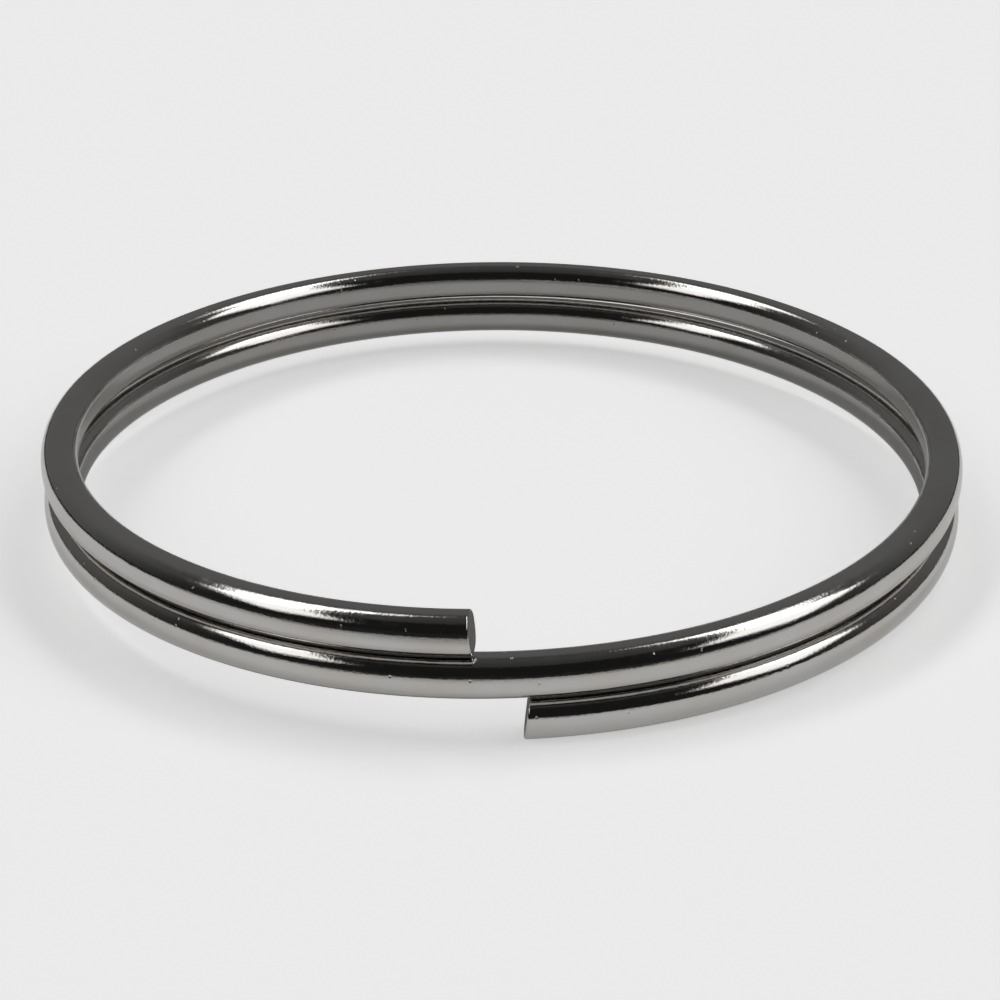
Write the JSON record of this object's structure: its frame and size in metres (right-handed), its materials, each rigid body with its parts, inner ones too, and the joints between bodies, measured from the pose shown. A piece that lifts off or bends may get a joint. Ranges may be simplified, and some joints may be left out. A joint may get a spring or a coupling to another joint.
{
  "type": "split key ring",
  "caption": "Flat double-turn spring ring of bright plated wire whose two ends pass the crossing wire at the front, so keys can be worked round between the turns.",
  "frame": {"origin": "below the coil's centre, on the surface that the ring lies on", "axes": "+Z along the coil's axis, -Y towards the crossover and the two wire ends, +X to the right seen from there"},
  "size_m": [0.032, 0.032, 0.0042],
  "materials": {
    "nickel_plate": "bright nickel plating on spring steel, lightly handled"
  },
  "bodies": {
    "lower_end": {"lower_end": "nickel_plate"},
    "lower_turn_1": {"lower_turn_1": "nickel_plate"},
    "lower_turn_2": {"lower_turn_2": "nickel_plate"},
    "lower_turn_3": {"lower_turn_3": "nickel_plate"},
    "lower_turn_4": {"lower_turn_4": "nickel_plate"},
    "lower_turn_5": {"lower_turn_5": "nickel_plate"},
    "lower_turn_6": {"lower_turn_6": "nickel_plate"},
    "lower_turn_7": {"lower_turn_7": "nickel_plate"},
    "lower_turn_8": {"lower_turn_8": "nickel_plate"},
    "lower_turn_9": {"lower_turn_9": "nickel_plate"},
    "crossover": {"crossover": "nickel_plate"},
    "upper_turn_1": {"upper_turn_1": "nickel_plate"},
    "upper_turn_2": {"upper_turn_2": "nickel_plate"},
    "upper_turn_3": {"upper_turn_3": "nickel_plate"},
    "upper_turn_4": {"upper_turn_4": "nickel_plate"},
    "upper_turn_5": {"upper_turn_5": "nickel_plate"},
    "upper_turn_6": {"upper_turn_6": "nickel_plate"},
    "upper_turn_7": {"upper_turn_7": "nickel_plate"},
    "upper_turn_8": {"upper_turn_8": "nickel_plate"},
    "upper_turn_9": {"upper_turn_9": "nickel_plate"},
    "upper_end": {"upper_end": "nickel_plate"}
  },
  "joints": [
    {"name": "lower_flex_1", "type": "hinge", "parent": "lower_end", "child": "lower_turn_1", "pos_m": [0.00925, -0.01227, 0.00091], "axis": [-0.342, 0.9397, 0], "range_deg": [0, 0.2678]},
    {"name": "lower_flex_2", "type": "hinge", "parent": "lower_turn_1", "child": "lower_turn_2", "pos_m": [0.01453, -0.005, 0.00106], "axis": [-0.6018, 0.7986, 0], "range_deg": [0, 0.512]},
    {"name": "lower_flex_3", "type": "hinge", "parent": "lower_turn_2", "child": "lower_turn_3", "pos_m": [0.01485, 0.00398, 0.00119], "axis": [-0.809, 0.5878, 0], "range_deg": [0, 0.7115]},
    {"name": "lower_flex_4", "type": "hinge", "parent": "lower_turn_3", "child": "lower_turn_4", "pos_m": [0.01008, 0.0116, 0.00129], "axis": [-0.9455, 0.3256, 0], "range_deg": [0, 0.8488]},
    {"name": "lower_gap_spread", "type": "hinge", "parent": "lower_turn_4", "child": "lower_turn_5", "pos_m": [0.00187, 0.01526, 0.00134], "axis": [-0.9994, 0.0349, 0], "range_deg": [0, 0.9118], "stiffness_Nm_per_rad": 0.3},
    {"name": "lower_flex_6", "type": "hinge", "parent": "lower_turn_5", "child": "lower_turn_6", "pos_m": [-0.00698, 0.01369, 0.00134], "axis": [-0.9659, -0.2588, 0], "range_deg": [0, 0.8954]},
    {"name": "lower_flex_7", "type": "hinge", "parent": "lower_turn_6", "child": "lower_turn_7", "pos_m": [-0.01344, 0.00745, 0.00137], "axis": [-0.848, -0.5299, 0], "range_deg": [0, 0.8007]},
    {"name": "lower_flex_8", "type": "hinge", "parent": "lower_turn_7", "child": "lower_turn_8", "pos_m": [-0.01531, -0.00134, 0.00148], "axis": [-0.6561, -0.7547, 0], "range_deg": [0, 0.636]},
    {"name": "lower_flex_9", "type": "hinge", "parent": "lower_turn_8", "child": "lower_turn_9", "pos_m": [-0.01194, -0.00967, 0.00168], "axis": [-0.4067, -0.9135, 0], "range_deg": [0, 0.4157]},
    {"name": "lower_flex_10", "type": "hinge", "parent": "lower_turn_9", "child": "crossover", "pos_m": [-0.00449, -0.0147, 0.00195], "axis": [-0.1219, -0.9925, 0], "range_deg": [0, 0.1591]},
    {"name": "upper_flex_1", "type": "hinge", "parent": "crossover", "child": "upper_turn_1", "pos_m": [0.00449, -0.0147, 0.00226], "axis": [-0.1219, 0.9925, 0], "range_deg": [0, 0.1591]},
    {"name": "upper_flex_2", "type": "hinge", "parent": "upper_turn_1", "child": "upper_turn_2", "pos_m": [0.01194, -0.00967, 0.00255], "axis": [-0.4067, 0.9135, 0], "range_deg": [0, 0.4157]},
    {"name": "upper_flex_3", "type": "hinge", "parent": "upper_turn_2", "child": "upper_turn_3", "pos_m": [0.01531, -0.00134, 0.00276], "axis": [-0.6561, 0.7547, 0], "range_deg": [0, 0.636]},
    {"name": "upper_flex_4", "type": "hinge", "parent": "upper_turn_3", "child": "upper_turn_4", "pos_m": [0.01344, 0.00745, 0.00287], "axis": [-0.848, 0.5299, 0], "range_deg": [0, 0.8007]},
    {"name": "upper_flex_5", "type": "hinge", "parent": "upper_turn_4", "child": "upper_turn_5", "pos_m": [0.00698, 0.01369, 0.00287], "axis": [-0.9659, 0.2588, 0], "range_deg": [0, 0.8954]},
    {"name": "upper_gap_spread", "type": "hinge", "parent": "upper_turn_5", "child": "upper_turn_6", "pos_m": [-0.00187, 0.01526, 0.00285], "axis": [-0.9994, -0.0349, 0], "range_deg": [0, 0.9118], "stiffness_Nm_per_rad": 0.3},
    {"name": "upper_flex_7", "type": "hinge", "parent": "upper_turn_6", "child": "upper_turn_7", "pos_m": [-0.01008, 0.0116, 0.00288], "axis": [-0.9455, -0.3256, 0], "range_deg": [0, 0.8488]},
    {"name": "upper_flex_8", "type": "hinge", "parent": "upper_turn_7", "child": "upper_turn_8", "pos_m": [-0.01485, 0.00398, 0.00297], "axis": [-0.809, -0.5878, 0], "range_deg": [0, 0.7115]},
    {"name": "upper_flex_9", "type": "hinge", "parent": "upper_turn_8", "child": "upper_turn_9", "pos_m": [-0.01453, -0.005, 0.0031], "axis": [-0.6018, -0.7986, 0], "range_deg": [0, 0.512]},
    {"name": "upper_flex_10", "type": "hinge", "parent": "upper_turn_9", "child": "upper_end", "pos_m": [-0.00925, -0.01227, 0.00327], "axis": [-0.342, -0.9397, 0], "range_deg": [0, 0.2678]}
  ],
  "couplings": [
    {"joint": "lower_flex_1", "follows": "lower_gap_spread", "ratio": 0.29349},
    {"joint": "lower_flex_2", "follows": "lower_gap_spread", "ratio": 0.56133},
    {"joint": "lower_flex_3", "follows": "lower_gap_spread", "ratio": 0.78012},
    {"joint": "lower_flex_4", "follows": "lower_gap_spread", "ratio": 0.93073},
    {"joint": "lower_flex_6", "follows": "lower_gap_spread", "ratio": 0.98188},
    {"joint": "lower_flex_7", "follows": "lower_gap_spread", "ratio": 0.87796},
    {"joint": "lower_flex_8", "follows": "lower_gap_spread", "ratio": 0.69731},
    {"joint": "lower_flex_9", "follows": "lower_gap_spread", "ratio": 0.45572},
    {"joint": "lower_flex_10", "follows": "lower_gap_spread", "ratio": 0.17431},
    {"joint": "upper_flex_1", "follows": "upper_gap_spread", "ratio": 0.17431},
    {"joint": "upper_flex_2", "follows": "upper_gap_spread", "ratio": 0.45572},
    {"joint": "upper_flex_3", "follows": "upper_gap_spread", "ratio": 0.69731},
    {"joint": "upper_flex_4", "follows": "upper_gap_spread", "ratio": 0.87796},
    {"joint": "upper_flex_5", "follows": "upper_gap_spread", "ratio": 0.98188},
    {"joint": "upper_flex_7", "follows": "upper_gap_spread", "ratio": 0.93073},
    {"joint": "upper_flex_8", "follows": "upper_gap_spread", "ratio": 0.78012},
    {"joint": "upper_flex_9", "follows": "upper_gap_spread", "ratio": 0.56133},
    {"joint": "upper_flex_10", "follows": "upper_gap_spread", "ratio": 0.29349}
  ]
}
